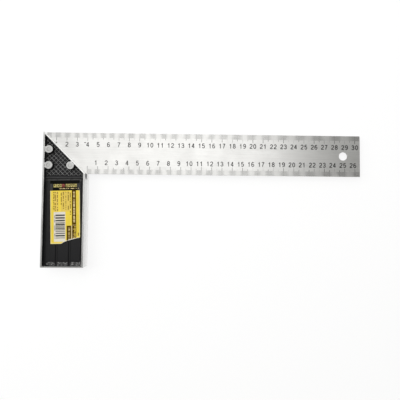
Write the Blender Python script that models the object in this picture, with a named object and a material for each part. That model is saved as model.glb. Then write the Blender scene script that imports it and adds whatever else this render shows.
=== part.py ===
"""Riveted steel square: a graduated steel blade held in the slot of a cast aluminium stock.

Drawing axes: x runs along the blade from the stock's outer face, y runs up the sheet with the
blade's graduated outer edge at y = 0, and z is the height above the face that the stock lies on.
All sizes are in metres.
"""
import math

import bmesh
import bpy

MM = 0.001

# Stock, the cast handle
STOCK_WIDTH = 40.0 * MM            # outer face to inner face
STOCK_LENGTH = 128.9 * MM          # blade's outer edge to the foot of the stock
STOCK_THICKNESS = 14.0 * MM
STOCK_EDGE_BREAK = 0.35 * MM       # small chamfer on the outer edges
MITRE_ANGLE = math.radians(45)

# Blade, a strip of rule steel
BLADE_LENGTH = 305.0 * MM          # stock's outer face to the free end
BLADE_WIDTH = 40.0 * MM
BLADE_THICKNESS = 1.0 * MM
BLADE_CORNER_RADIUS = 0.6 * MM
BLADE_END_SET_BACK = 0.2 * MM      # hidden end, behind the stock's outer face
HANG_HOLE_RADIUS = 4.0 * MM
HANG_HOLE_FROM_END = 16.6 * MM

# Pocket in each face of the stock, with the rim left round it
RIM_WIDTH = 1.65 * MM
MITRE_RIM_WIDTH = 1.2 * MM
FOOT_RIM_WIDTH = 1.3 * MM
POCKET_DEPTH = 4.0 * MM
POCKET_CORNER_RADIUS = 0.4 * MM
CAST_DRAFT = math.radians(3)       # lean of every cast wall

# Raised panel in the lower part of the pocket, and the bar above it
PANEL_RISE = 1.2 * MM
PANEL_SIDE_INSET = 2.25 * MM       # from the rim's inner edge
PANEL_FOOT_INSET = 4.6 * MM
BAR_WIDTH = 0.9 * MM
BAR_BELOW_BLADE = 4.1 * MM         # blade's inner edge to the middle of the bar
BAR_TO_PANEL = 1.2 * MM            # middle of the bar to the panel
GROOVE_WIDTH = 1.8 * MM
GROOVE_DEPTH = 0.4 * MM
GROOVE_SPREAD = 6.1 * MM           # each groove's distance from the middle of the stock

# Rivets and the bosses they pass through
BOSS_RADIUS = 3.65 * MM
BOSS_NECK_WIDTH = 5.0 * MM         # web that joins each boss to its rim
OUTER_BOSS_FROM_RIM = 3.95 * MM    # boss centre to the inner edge of the outer rim
MITRE_BOSS_FROM_RIM = 3.6 * MM     # boss centre to the inner edge of the mitre rim
UPPER_RIVET_FROM_EDGE = 17.35 * MM  # below the blade's outer edge
LOWER_RIVET_FROM_EDGE = 7.5 * MM   # above the blade's inner edge
MITRE_RIVET_FROM_CORNER = 15.2 * MM   # up the mitre face from the inner corner
RIVET_RADIUS = 2.0 * MM
RIVET_END_SET_BACK = 0.1 * MM
RIVET_END_CHAMFER = 0.25 * MM

# Label stuck on the front panel
LABEL_WIDTH = 27.75 * MM
LABEL_LENGTH = 59.8 * MM           # down its longer, left side
LABEL_CUT_RISE = 5.4 * MM          # rise of the sloping lower edge
LABEL_CUT_START = 10.05 * MM       # flat part of the lower edge
LABEL_THICKNESS = 0.2 * MM
LABEL_FROM_PANEL_TOP = 1.9 * MM
LABEL_FROM_PANEL_SIDE = 0.1 * MM   # at its lower right corner
LABEL_TURN = math.radians(1.75)    # it is stuck on a little askew

CLEARANCE = 0.3 * MM               # gap between pieces that touch
OVERCUT = 1.0 * MM                 # how far a cutter runs past the face it cuts
ARC_STEPS = 4                      # per rounded corner
ROUND_SEGMENTS = 40

COLOURS = {
    "cast_aluminium": ((0.62, 0.62, 0.61), 0.38, 1.0),
    "rule_steel": ((0.70, 0.69, 0.67), 0.32, 1.0),
    "rivet_steel": ((0.55, 0.55, 0.54), 0.35, 1.0),
    "label_film": ((0.86, 0.66, 0.09), 0.45, 0.0),
}


# Outlines: lists of (x, y), anticlockwise

def offset_outline(outline, insets):
    """Moves each side of a convex outline inwards; insets[i] belongs to the side after point i."""
    sides = []
    for i, (x0, y0) in enumerate(outline):
        x1, y1 = outline[(i + 1) % len(outline)]
        length = math.hypot(x1 - x0, y1 - y0)
        nx, ny = -(y1 - y0) / length, (x1 - x0) / length
        sides.append((nx, ny, nx * x0 + ny * y0 + insets[i]))
    moved = []
    for i, (a1, b1, c1) in enumerate(sides):
        a0, b0, c0 = sides[i - 1]
        det = a0 * b1 - a1 * b0
        moved.append(((c0 * b1 - c1 * b0) / det, (a0 * c1 - a1 * c0) / det))
    return moved


def round_outline(outline, radius):
    """Replaces each corner of a convex outline with an arc of the given radius."""
    rounded = []
    for i, (x, y) in enumerate(outline):
        px, py = outline[i - 1]
        qx, qy = outline[(i + 1) % len(outline)]
        start_angle = math.atan2(y - py, x - px) - math.pi / 2
        turn = (math.atan2(qy - y, qx - x) - math.pi / 2 - start_angle) % (2 * math.pi)
        back = radius * math.tan(turn / 2)
        length = math.hypot(x - px, y - py)
        tx, ty = x - (x - px) / length * back, y - (y - py) / length * back
        cx = tx - radius * math.cos(start_angle)
        cy = ty - radius * math.sin(start_angle)
        for step in range(ARC_STEPS + 1):
            angle = start_angle + turn * step / ARC_STEPS
            rounded.append((cx + radius * math.cos(angle), cy + radius * math.sin(angle)))
    return rounded


def circle_outline(x, y, radius):
    angles = [2 * math.pi * i / ROUND_SEGMENTS for i in range(ROUND_SEGMENTS)]
    return [(x + radius * math.cos(a), y + radius * math.sin(a)) for a in angles]


def strip_outline(start, end, width):
    """A rectangle of the given width along the line from start to end."""
    dx, dy = end[0] - start[0], end[1] - start[1]
    length = math.hypot(dx, dy)
    sx, sy = dy / length * width / 2, -dx / length * width / 2
    return [(start[0] + sx, start[1] + sy), (end[0] + sx, end[1] + sy),
            (end[0] - sx, end[1] - sy), (start[0] - sx, start[1] - sy)]


def rectangle_outline(x0, y0, x1, y1):
    return [(x0, y0), (x1, y0), (x1, y1), (x0, y1)]


# Solids

def loft(name, sections):
    """A closed solid through (outline, z) sections that have the same number of points."""
    bm = bmesh.new()
    rings = [[bm.verts.new((x, y, z)) for x, y in outline] for outline, z in sections]
    for low, high in zip(rings, rings[1:]):
        for i in range(len(low)):
            j = (i + 1) % len(low)
            bm.faces.new((low[i], low[j], high[j], high[i]))
    bm.faces.new(list(reversed(rings[0])))
    bm.faces.new(rings[-1])
    bmesh.ops.recalc_face_normals(bm, faces=bm.faces)
    mesh = bpy.data.meshes.new(name)
    bm.to_mesh(mesh)
    bm.free()
    piece = bpy.data.objects.new(name, mesh)
    bpy.context.scene.collection.objects.link(piece)
    piece.parent = drawing
    return piece


def prism(name, outline, z0, z1):
    return loft(name, [(outline, z0), (outline, z1)])


def as_cutter(piece):
    piece.hide_render = True
    piece.display_type = "WIRE"
    return piece


def cut(piece, cutter):
    boolean = piece.modifiers.new(cutter.name, "BOOLEAN")
    boolean.operation = "DIFFERENCE"
    boolean.solver = "EXACT"
    boolean.object = cutter


def finish(piece, material_name):
    colour, roughness, metallic = COLOURS[material_name]
    material = bpy.data.materials.get(material_name) or bpy.data.materials.new(material_name)
    material.use_nodes = True
    shader = material.node_tree.nodes["Principled BSDF"]
    shader.inputs["Base Color"].default_value = (*colour, 1)
    shader.inputs["Roughness"].default_value = roughness
    shader.inputs["Metallic"].default_value = metallic
    piece.data.materials.append(material)


# Stock

def stock_outline():
    mitre_drop = STOCK_WIDTH * math.tan(MITRE_ANGLE)
    return [(0, 0), (0, -STOCK_LENGTH), (STOCK_WIDTH, -STOCK_LENGTH), (STOCK_WIDTH, -mitre_drop)]


def pocket_outline(extra_inset):
    insets = [RIM_WIDTH, FOOT_RIM_WIDTH, RIM_WIDTH, MITRE_RIM_WIDTH]
    inner = offset_outline(stock_outline(), [inset + extra_inset for inset in insets])
    return round_outline(inner, POCKET_CORNER_RADIUS)


def rivet_seats():
    """Each rivet's centre, the way from it to the rim that its boss joins, and how far that is."""
    mitre_inset = MITRE_RIM_WIDTH + MITRE_BOSS_FROM_RIM
    along = (-math.cos(MITRE_ANGLE), math.sin(MITRE_ANGLE))
    inwards = (-math.sin(MITRE_ANGLE), -math.cos(MITRE_ANGLE))
    corner_x, corner_y = stock_outline()[3]
    mitre_rivet = (corner_x + MITRE_RIVET_FROM_CORNER * along[0] + mitre_inset * inwards[0],
                   corner_y + MITRE_RIVET_FROM_CORNER * along[1] + mitre_inset * inwards[1])
    outer_x = RIM_WIDTH + OUTER_BOSS_FROM_RIM
    upper = (outer_x, -UPPER_RIVET_FROM_EDGE)
    lower = (outer_x, -BLADE_WIDTH + LOWER_RIVET_FROM_EDGE)
    return {
        "upper": (upper, (-1, 0), OUTER_BOSS_FROM_RIM),
        "lower": (lower, (-1, 0), OUTER_BOSS_FROM_RIM),
        "mitre": (mitre_rivet, (-inwards[0], -inwards[1]), MITRE_BOSS_FROM_RIM),
    }


def panel_sides():
    left = RIM_WIDTH + PANEL_SIDE_INSET
    top = -BLADE_WIDTH - BAR_BELOW_BLADE - BAR_TO_PANEL
    foot = -STOCK_LENGTH + FOOT_RIM_WIDTH + PANEL_FOOT_INSET
    return left, foot, STOCK_WIDTH - left, top


def drafted_island(name, outline, top_depth, height_at):
    """An island in a pocket: it widens towards the pocket's floor as a cast wall does."""
    spread = (POCKET_DEPTH + OVERCUT - top_depth) * math.tan(CAST_DRAFT)
    base = offset_outline(outline, [-spread] * len(outline))
    sections = [(base, height_at(POCKET_DEPTH + OVERCUT)), (outline, height_at(top_depth))]
    return as_cutter(loft(name, sections))


def pocket_cutter(face, height_at):
    """The space of one face's pocket: the hollow, less the bosses, bar and panel in it."""
    floor_inset = POCKET_DEPTH * math.tan(CAST_DRAFT)
    mouth_inset = -OVERCUT * math.tan(CAST_DRAFT)
    pocket = as_cutter(loft(face + "_pocket", [
        (pocket_outline(floor_inset), height_at(POCKET_DEPTH)),
        (pocket_outline(mouth_inset), height_at(-OVERCUT)),
    ]))
    above_face = -2 * OVERCUT
    for name, (centre, way, rim_distance) in rivet_seats().items():
        reach = rim_distance + OVERCUT
        rim_point = (centre[0] + way[0] * reach, centre[1] + way[1] * reach)
        boss = circle_outline(*centre, BOSS_RADIUS)
        neck = strip_outline(centre, rim_point, BOSS_NECK_WIDTH)
        cut(pocket, drafted_island(face + "_boss_" + name, boss, above_face, height_at))
        cut(pocket, drafted_island(face + "_neck_" + name, neck, above_face, height_at))
    rise_depth = POCKET_DEPTH - PANEL_RISE
    bar_y = -BLADE_WIDTH - BAR_BELOW_BLADE
    bar = rectangle_outline(0, bar_y - BAR_WIDTH / 2, STOCK_WIDTH, bar_y + BAR_WIDTH / 2)
    panel = rectangle_outline(*panel_sides())
    cut(pocket, drafted_island(face + "_bar", bar, rise_depth, height_at))
    cut(pocket, drafted_island(face + "_panel", panel, rise_depth, height_at))
    return pocket


def groove_cutters(face, height_at):
    top_depth = POCKET_DEPTH - PANEL_RISE
    foot, top = panel_sides()[1], panel_sides()[3]
    for side, name in ((-1, "left"), (1, "right")):
        middle = STOCK_WIDTH / 2 + side * GROOVE_SPREAD
        groove = rectangle_outline(middle - GROOVE_WIDTH / 2, foot - OVERCUT,
                                   middle + GROOVE_WIDTH / 2, top + OVERCUT)
        heights = sorted((height_at(top_depth + GROOVE_DEPTH), height_at(top_depth - OVERCUT)))
        yield as_cutter(prism(face + "_groove_" + name, groove, *heights))


def make_stock(rivet_holes):
    stock = prism("stock", stock_outline(), 0, STOCK_THICKNESS)
    edge_break = stock.modifiers.new("edge_break", "BEVEL")
    edge_break.width = STOCK_EDGE_BREAK
    edge_break.segments = 2
    faces = {
        "front": lambda depth: STOCK_THICKNESS - depth,
        "back": lambda depth: depth,
    }
    for face, height_at in faces.items():
        cut(stock, pocket_cutter(face, height_at))
        for groove in groove_cutters(face, height_at):
            cut(stock, groove)
    slot_half = BLADE_THICKNESS / 2 + CLEARANCE
    slot = rectangle_outline(-OVERCUT, -BLADE_WIDTH - CLEARANCE, STOCK_WIDTH + OVERCUT, OVERCUT)
    middle = STOCK_THICKNESS / 2
    cut(stock, as_cutter(prism("blade_slot", slot, middle - slot_half, middle + slot_half)))
    for hole in rivet_holes:
        cut(stock, hole)
    finish(stock, "cast_aluminium")


# Blade, rivets and label

def make_blade(rivet_holes):
    square = rectangle_outline(BLADE_END_SET_BACK, -BLADE_WIDTH, BLADE_LENGTH, 0)
    low = STOCK_THICKNESS / 2 - BLADE_THICKNESS / 2
    blade = prism("blade", round_outline(square, BLADE_CORNER_RADIUS), low, low + BLADE_THICKNESS)
    hang_x = BLADE_LENGTH - HANG_HOLE_FROM_END
    ring = circle_outline(hang_x, -BLADE_WIDTH / 2, HANG_HOLE_RADIUS)
    cut(blade, as_cutter(prism("hang_hole", ring, -OVERCUT, STOCK_THICKNESS + OVERCUT)))
    for hole in rivet_holes:
        cut(blade, hole)
    finish(blade, "rule_steel")


def make_rivet(name, centre):
    low, high = RIVET_END_SET_BACK, STOCK_THICKNESS - RIVET_END_SET_BACK
    end = circle_outline(*centre, RIVET_RADIUS - RIVET_END_CHAMFER)
    shank = circle_outline(*centre, RIVET_RADIUS)
    rivet = loft("rivet_" + name, [(end, low), (shank, low + RIVET_END_CHAMFER),
                                   (shank, high - RIVET_END_CHAMFER), (end, high)])
    finish(rivet, "rivet_steel")


def make_label():
    """The label's lower edge is flat at the left and slopes up to the right."""
    outline = [(0, 0), (0, -LABEL_LENGTH), (LABEL_CUT_START, -LABEL_LENGTH),
               (LABEL_WIDTH, -LABEL_LENGTH + LABEL_CUT_RISE), (LABEL_WIDTH, 0)]
    right, top = panel_sides()[2], panel_sides()[3]
    lean = (LABEL_LENGTH - LABEL_CUT_RISE) * math.sin(LABEL_TURN)
    corner_x = right - LABEL_FROM_PANEL_SIDE - lean - LABEL_WIDTH
    corner_y = top - LABEL_FROM_PANEL_TOP
    turned = [(corner_x + x * math.cos(LABEL_TURN) - y * math.sin(LABEL_TURN),
               corner_y + x * math.sin(LABEL_TURN) + y * math.cos(LABEL_TURN))
              for x, y in outline]
    low = STOCK_THICKNESS - POCKET_DEPTH + PANEL_RISE + CLEARANCE
    label = prism("label", turned, low, low + LABEL_THICKNESS)
    finish(label, "label_film")


for old in list(bpy.data.objects):
    bpy.data.objects.remove(old, do_unlink=True)

drawing = bpy.data.objects.new("drawing_origin", None)   # outer corner of the square
drawing.location = (-BLADE_LENGTH / 2, STOCK_LENGTH / 2, 0)
bpy.context.scene.collection.objects.link(drawing)

holes = []
for rivet_name, (rivet_centre, _, _) in rivet_seats().items():
    hole_outline = circle_outline(*rivet_centre, RIVET_RADIUS + CLEARANCE)
    hole = prism("rivet_hole_" + rivet_name, hole_outline, -OVERCUT, STOCK_THICKNESS + OVERCUT)
    holes.append(as_cutter(hole))
    make_rivet(rivet_name, rivet_centre)
make_stock(holes)
make_blade(holes)
make_label()
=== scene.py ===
# Looks of the riveted steel square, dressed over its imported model.
import math
import random

import bmesh
import bpy
from mathutils import Matrix, Vector, noise


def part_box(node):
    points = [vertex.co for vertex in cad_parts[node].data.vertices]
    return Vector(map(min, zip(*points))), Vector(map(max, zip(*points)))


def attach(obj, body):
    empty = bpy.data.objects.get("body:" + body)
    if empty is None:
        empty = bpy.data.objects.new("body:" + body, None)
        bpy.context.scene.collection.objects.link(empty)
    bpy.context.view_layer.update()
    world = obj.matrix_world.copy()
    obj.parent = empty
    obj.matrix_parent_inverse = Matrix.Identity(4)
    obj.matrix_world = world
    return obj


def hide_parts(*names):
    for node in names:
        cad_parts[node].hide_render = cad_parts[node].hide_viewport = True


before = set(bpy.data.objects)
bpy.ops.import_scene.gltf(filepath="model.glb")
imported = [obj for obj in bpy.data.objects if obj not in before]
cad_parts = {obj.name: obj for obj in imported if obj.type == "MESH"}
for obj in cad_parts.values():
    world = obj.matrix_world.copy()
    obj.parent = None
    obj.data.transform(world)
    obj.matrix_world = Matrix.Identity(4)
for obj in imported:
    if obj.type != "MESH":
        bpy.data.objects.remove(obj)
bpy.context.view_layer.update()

mm = 0.001
stockLow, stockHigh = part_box("stock")
bladeLow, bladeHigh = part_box("blade")
# drawings start at this corner: x along the blade, y up the sheet
outerCorner = Vector((stockLow.x, bladeHigh.y, 0))
thickness = stockHigh.z - stockLow.z
stockWidth = stockHigh.x - stockLow.x
stockLength = bladeHigh.y - stockLow.y
bladeWidth = bladeHigh.y - bladeLow.y
bladeLength = bladeHigh.x - stockLow.x


def onDrawing(node):
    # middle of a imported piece, in drawing coordinates
    low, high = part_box(node)
    middle = (low + high) / 2 - outerCorner
    return middle.x, middle.y


# Camera, lights and floor

viewSettings = {
    "fromCorner": (143.19 * mm, -76.76 * mm, 337.76 * mm),   # from the square's outer corner
    "turn": (2.206, -1.021, 0.523),     # degrees, nearly straight down
    "lens": 30.81,
    "sensor": 36.0,
}

studio = {
    "softboxHeight": 0.60,
    "softboxX": (-0.44, 0.258),
    "softboxY": (-0.05, 0.95),
    "softboxGlow": 1.29,                # radiance of its face
    "ceiling": (0.27, 0.27, 0.26),
    "walls": (0.98, 0.98, 0.98),
    "wallTop": 0.38,                    # sine of the elevation where walls and ceiling are mixed evenly
    "fillPlace": (-0.85, 0.25, 0.80),
    "fillSize": 0.9,
    "fillGlow": 2.0,
    "floorWidth": 2.6,
    "floorColour": (0.24, 0.24, 0.24),
    "floorLift": 0.79,                  # glow that keeps the floor white round the shadow
}


def addCamera():
    camera = bpy.data.objects.new("camera", bpy.data.cameras.new("camera"))
    bpy.context.scene.collection.objects.link(camera)
    camera.location = outerCorner + Vector(viewSettings["fromCorner"])
    camera.rotation_euler = [math.radians(angle) for angle in viewSettings["turn"]]
    camera.data.lens = viewSettings["lens"]
    camera.data.sensor_width = viewSettings["sensor"]
    camera.data.clip_start = 0.01
    bpy.context.scene.camera = camera


def addPanelLight(name, place, width, height, glow):
    # a glowing rectangle; glow is the radiance of its face
    lamp = bpy.data.lights.new(name, "AREA")
    lamp.shape = "RECTANGLE"
    lamp.size = width
    lamp.size_y = height
    lamp.energy = glow * math.pi * width * height
    panelLight = bpy.data.objects.new(name, lamp)
    panelLight.location = place
    panelLight.visible_camera = False
    bpy.context.scene.collection.objects.link(panelLight)
    return panelLight


def addLights():
    # a wide softbox overhead and a fill light from the upper left
    x0, x1 = studio["softboxX"]
    y0, y1 = studio["softboxY"]
    place = ((x0 + x1) / 2, (y0 + y1) / 2, studio["softboxHeight"])
    addPanelLight("softbox", place, x1 - x0, y1 - y0, studio["softboxGlow"])
    size = studio["fillSize"]
    fill = addPanelLight("fill", studio["fillPlace"], size, size, studio["fillGlow"])
    fill.rotation_euler = Vector(studio["fillPlace"]).to_track_quat("Z", "Y").to_euler()
    fill.visible_glossy = False         # lights paint and print, and leaves no streak on the steel


def addWorld():
    # pale walls all round and a dimmer ceiling that only lights and reflects
    world = bpy.data.worlds.new("studio")
    bpy.context.scene.world = world
    world.use_nodes = True
    tree = world.node_tree
    direction = tree.nodes.new("ShaderNodeTexCoord").outputs["Generated"]
    rise = spread(tree, axesOf(tree, direction)["Z"], 0.0, studio["wallTop"] * 2, smooth=True)
    shade = blendColours(tree, rise, studio["walls"], studio["ceiling"])
    seen = tree.nodes.new("ShaderNodeLightPath").outputs["Is Camera Ray"]
    shade = blendColours(tree, seen, shade, studio["walls"])
    tree.links.new(shade, tree.nodes["Background"].inputs["Color"])


def addFloor():
    half = studio["floorWidth"] / 2
    mesh = bpy.data.meshes.new("floor")
    corners = [(x, y, 0) for x, y in boxOutline(-half, -half, half, half)]
    mesh.from_pydata(corners, [], [(0, 1, 2, 3)])
    material, tree, shader = startMaterial("floorPaper")
    path = tree.nodes.new("ShaderNodeLightPath").outputs
    seen = chain(tree, "MAXIMUM", *(path[f"Is {kind} Ray"] for kind in ("Camera", "Glossy", "Transmission")))
    setInputs(tree, shader, Base_Color=studio["floorColour"], Roughness=0.9, Specular_IOR_Level=0.1,
              Emission_Color=(1, 1, 1), Emission_Strength=calc(tree, "MULTIPLY", seen, studio["floorLift"]))
    mesh.materials.append(material)
    addPiece("floor", mesh)


# Node helpers

def feed(tree, socket, source):
    # links a node's output, or sets a plain number or colour
    if isinstance(source, bpy.types.NodeSocket):
        tree.links.new(source, socket)
    elif socket.type == "RGBA":
        socket.default_value = (*source, 1)
    else:
        socket.default_value = source


def setInputs(tree, node, **sources):
    for label, source in sources.items():
        feed(tree, node.inputs[label.replace("_", " ")], source)


def addNode(tree, kind, settings=None, **sources):
    # adds a node and gives its first output
    node = tree.nodes.new(kind)
    for key, value in (settings or {}).items():
        setattr(node, key, value)
    setInputs(tree, node, **sources)
    return node.outputs[0]


def calc(tree, operation, first, second=0.0, third=0.0):
    node = tree.nodes.new("ShaderNodeMath")
    node.operation = operation
    for socket, source in zip(node.inputs, (first, second, third)):
        feed(tree, socket, source)
    return node.outputs[0]


def chain(tree, operation, first, *others):
    # joins many numbers by one operation, from left to right
    for other in others:
        first = calc(tree, operation, first, other)
    return first


def offFrom(tree, value, middle):
    # how far a number is from the middle
    return calc(tree, "ABSOLUTE", calc(tree, "SUBTRACT", value, middle))


def spread(tree, value, low, high, bottom=0.0, top=1.0, smooth=False):
    # maps low..high to bottom..top, clamped
    node = tree.nodes.new("ShaderNodeMapRange")
    if smooth:
        node.interpolation_type = "SMOOTHSTEP"
    names = ("Value", "From Min", "From Max", "To Min", "To Max")
    for name, source in zip(names, (value, low, high, bottom, top)):
        feed(tree, node.inputs[name], source)
    return node.outputs["Result"]


def blendColours(tree, factor, first, second):
    node = tree.nodes.new("ShaderNodeMix")
    node.data_type = "RGBA"
    for index, source in ((0, factor), (6, first), (7, second)):
        feed(tree, node.inputs[index], source)
    return node.outputs[2]


def vectorCalc(tree, operation, first, second):
    node = tree.nodes.new("ShaderNodeVectorMath")
    node.operation = operation
    feed(tree, node.inputs[0], first)
    feed(tree, node.inputs[1], second)
    return node.outputs["Value"] if operation == "DOT_PRODUCT" else node.outputs["Vector"]


def noiseAt(tree, place, scale, detail=2.0, roughness=0.5):
    return addNode(tree, "ShaderNodeTexNoise", Vector=place, Scale=scale, Detail=detail, Roughness=roughness)


def objectPlace(tree):
    return tree.nodes.new("ShaderNodeTexCoord").outputs["Object"]


def axesOf(tree, place):
    # separate X, Y and Z of the place
    split = tree.nodes.new("ShaderNodeSeparateXYZ")
    tree.links.new(place, split.inputs[0])
    return split.outputs


socketKinds = {int: "Int", float: "Float", tuple: "Vector"}


def startTree(name, treeKind, inputs, outputs):
    # a node tree; inputs holds each socket's default, or its kind where it has none
    tree = bpy.data.node_groups.new(name, treeKind)
    for label, default in inputs.items():
        kind = socketKinds.get(type(default), default)
        socket = tree.interface.new_socket(label, in_out="INPUT", socket_type="NodeSocket" + kind)
        if kind != default:
            socket.default_value = default
    for label, kind in outputs.items():
        tree.interface.new_socket(label, in_out="OUTPUT", socket_type="NodeSocket" + kind)
    return tree, tree.nodes.new("NodeGroupInput").outputs, tree.nodes.new("NodeGroupOutput").inputs


def startGroup(name, inputs, outputs):
    # a shader node group that is fed with a place and gives numbers
    inputs = {"Vector": (0, 0, 0)} | inputs
    return startTree(name, "ShaderNodeTree", inputs, dict.fromkeys(outputs, "Float"))


def startGeometry(name, inputs):
    # a geometry node tree that is given a material as well
    inputs = {"Geometry": "Geometry", "Material": "Material"} | inputs
    return startTree(name, "GeometryNodeTree", inputs, {"Geometry": "Geometry"})


def useGroup(tree, group, **values):
    node = tree.nodes.new("ShaderNodeGroup")
    node.node_tree = group
    setInputs(tree, node, **values)
    return node.outputs


def addBump(tree, shader, height, distance, strength=1.0):
    bump = addNode(tree, "ShaderNodeBump", Height=height, Distance=distance, Strength=strength)
    tree.links.new(bump, shader.inputs["Normal"])


def startMaterial(name, metallic=0.0):
    material = bpy.data.materials.new(name)
    material.use_nodes = True
    shader = material.node_tree.nodes["Principled BSDF"]
    shader.inputs["Metallic"].default_value = metallic
    return material, material.node_tree, shader


# Shared surface effects

def makeGrain():
    # fine lines left by grinding or brushing; Stretch is how often they change along each axis
    group, given, result = startGroup("grain", {"Stretch": (1, 1, 1)}, ("Lines", "Fine"))
    stretched = vectorCalc(group, "MULTIPLY", given["Vector"], given["Stretch"])
    group.links.new(noiseAt(group, stretched, 1.0, 4.0, 0.7), result["Lines"])
    group.links.new(noiseAt(group, stretched, 4.3, 2.0, 0.6), result["Fine"])
    return group


def makeHandling():
    # dull patches and small specks that use leaves
    sizes = {"Patch": 60.0, "Speck": 900.0}
    group, given, result = startGroup("handling", sizes, ("Patches", "Specks"))
    patches = noiseAt(group, given["Vector"], given["Patch"], 3.0, 0.55)
    specks = noiseAt(group, given["Vector"], given["Speck"], 2.0, 0.5)
    group.links.new(spread(group, patches, 0.35, 0.7), result["Patches"])
    group.links.new(spread(group, specks, 0.72, 0.79), result["Specks"])
    return group


def makeCastSkin():
    # height of a painted casting's skin: soft orange peel with a few pits
    group, given, result = startGroup("castSkin", {"Scale": 1800.0}, ("Height",))
    peel = noiseAt(group, given["Vector"], given["Scale"], 3.0, 0.55)
    coarse = noiseAt(group, given["Vector"], calc(group, "MULTIPLY", given["Scale"], 0.31), 2.0, 0.5)
    pits = spread(group, coarse, 0.27, 0.36)
    height = calc(group, "MULTIPLY_ADD", pits, 0.6, calc(group, "MULTIPLY", peel, 0.4))
    group.links.new(height, result["Height"])
    return group


def makeRimDistance():
    # distance inside the pocket from its nearest wall; negative on the rims
    group, given, result = startGroup("rimDistance", {}, ("Distance",))
    distances = []
    for (x, y), (nx, ny) in pocketSides():
        corner = Vector((x, y, 0)) + outerCorner
        along = vectorCalc(group, "DOT_PRODUCT", given["Vector"], (nx, ny, 0))
        distances.append(calc(group, "SUBTRACT", along, corner.x * nx + corner.y * ny))
    group.links.new(chain(group, "MINIMUM", *distances), result["Distance"])
    return group


# Materials

metalLooks = {
    "ground": {"colour": (0.70, 0.70, 0.69), "roughness": (0.30, 0.46), "lines": (1600, 90, 1600),
               "bump": 0.004 * mm, "dull": 0.30, "specks": 0.45},
    "side": {"colour": (0.95, 0.95, 0.94), "roughness": (0.18, 0.26), "lines": (90, 90, 1500),
             "bump": 0.002 * mm, "dull": 0.05, "specks": 0.15},
    "rivet": {"colour": (0.58, 0.58, 0.57), "roughness": (0.28, 0.40), "lines": (1500, 300, 1500),
              "bump": 0.004 * mm, "dull": 0.20, "specks": 0.35},
    "blade": {"colour": (0.77, 0.765, 0.75), "roughness": (0.30, 0.38), "lines": (45, 2600, 2600),
              "bump": 0.002 * mm, "dull": 0.04, "specks": 0.12},
}

# what patches and specks of dirt tint bare metal with
dirtColours = {"dull": (0.22, 0.215, 0.20), "specks": (0.25, 0.24, 0.22)}


def makeMetal(name, look, grain, handling, stainAndShade=None, lighten=None):
    # worked metal; the first mask darkens it to the paint's colour, for stray paint and painted shade,
    # and the second gives it a lighter colour
    material, tree, shader = startMaterial(name, 1.0)
    place = objectPlace(tree)
    lines = useGroup(tree, grain, Vector=place, Stretch=look["lines"])
    use = useGroup(tree, handling, Vector=place)
    darker = tuple(value * 0.86 for value in look["colour"])
    shade = blendColours(tree, spread(tree, lines["Lines"], 0.3, 0.7), darker, look["colour"])
    for mask, dirt in (("Patches", "dull"), ("Specks", "specks")):
        amount = calc(tree, "MULTIPLY", use[mask], look[dirt])
        shade = blendColours(tree, amount, shade, dirtColours[dirt])
    if lighten:
        shade = blendColours(tree, lighten(tree, place), shade, metalLooks["side"]["colour"])
    if stainAndShade:
        # towards the paint's colour: stray paint on the rims, painted shade on the sides
        darkened = stainAndShade(tree, place)
        shade = blendColours(tree, darkened, shade, paintLook["colour"])
        tree.links.new(calc(tree, "SUBTRACT", 1.0, darkened), shader.inputs["Metallic"])
    gloss = spread(tree, lines["Fine"], 0.35, 0.65, *look["roughness"])
    gloss = calc(tree, "MULTIPLY_ADD", use["Patches"], 0.06, gloss)
    setInputs(tree, shader, Base_Color=shade, Roughness=gloss)
    addBump(tree, shader, lines["Lines"], look["bump"])
    return material


paintLook = {
    "colour": (0.0105, 0.0105, 0.0115),
    "bareColour": (0.60, 0.60, 0.59),
    "roughness": (0.36, 0.50),
    "specular": 0.30,
    "bump": 0.02 * mm,
    "chipReach": 0.30 * mm,             # how far chips run down from the rim
    "chipping": (0.58, 0.12),           # at the rim and below that reach
    "creepReach": 0.45 * mm,            # how far stray paint runs onto the rim
    "creeping": (0.25, 0.60),           # at that reach and just inside the pocket
    "creepFull": 0.1 * mm,
    "creepEnd": 0.3 * mm,
}


def makePaint(name, castSkin, handling, bareAndHighlight, creviceShade=None):
    # black paint over aluminium; the first mask gives bare metal, and on the lattice's crests a painted
    # highlight too; the second gives painted shade along the grooves
    material, tree, shader = startMaterial(name)
    place = objectPlace(tree)
    skin = useGroup(tree, castSkin, Vector=place)
    use = useGroup(tree, handling, Vector=place, Patch=110.0, Speck=1300.0)
    # bare metal, and on the crests a painted highlight too
    bare = bareAndHighlight(tree, place)
    # dust, and painted light on two pale strips, lighten the paint
    paint = blendColours(tree, dustOn(tree, place, use["Specks"]), paintLook["colour"], dustAndLightLook["colour"])
    shade = blendColours(tree, bare, paint, paintLook["bareColour"])
    # a black metal shows no sheen, so the painted shade is metallic as well
    metallic = calc(tree, "MAXIMUM", bare, creviceShade(tree, place)) if creviceShade else bare
    low, high = paintLook["roughness"]
    gloss = spread(tree, skin["Height"], 0.2, 0.9, high, low)
    gloss = calc(tree, "MULTIPLY_ADD", use["Patches"], 0.08, gloss)
    setInputs(tree, shader, Base_Color=shade, Metallic=metallic, Roughness=gloss,
              Specular_IOR_Level=paintLook["specular"])
    addBump(tree, shader, calc(tree, "SUBTRACT", skin["Height"], bare), paintLook["bump"])
    return material


def depthUnderFace(tree, place):
    # how far below the nearer ground face a point lies
    offMiddle = offFrom(tree, axesOf(tree, place)["Z"], thickness / 2)
    return calc(tree, "SUBTRACT", thickness / 2, offMiddle)


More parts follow.
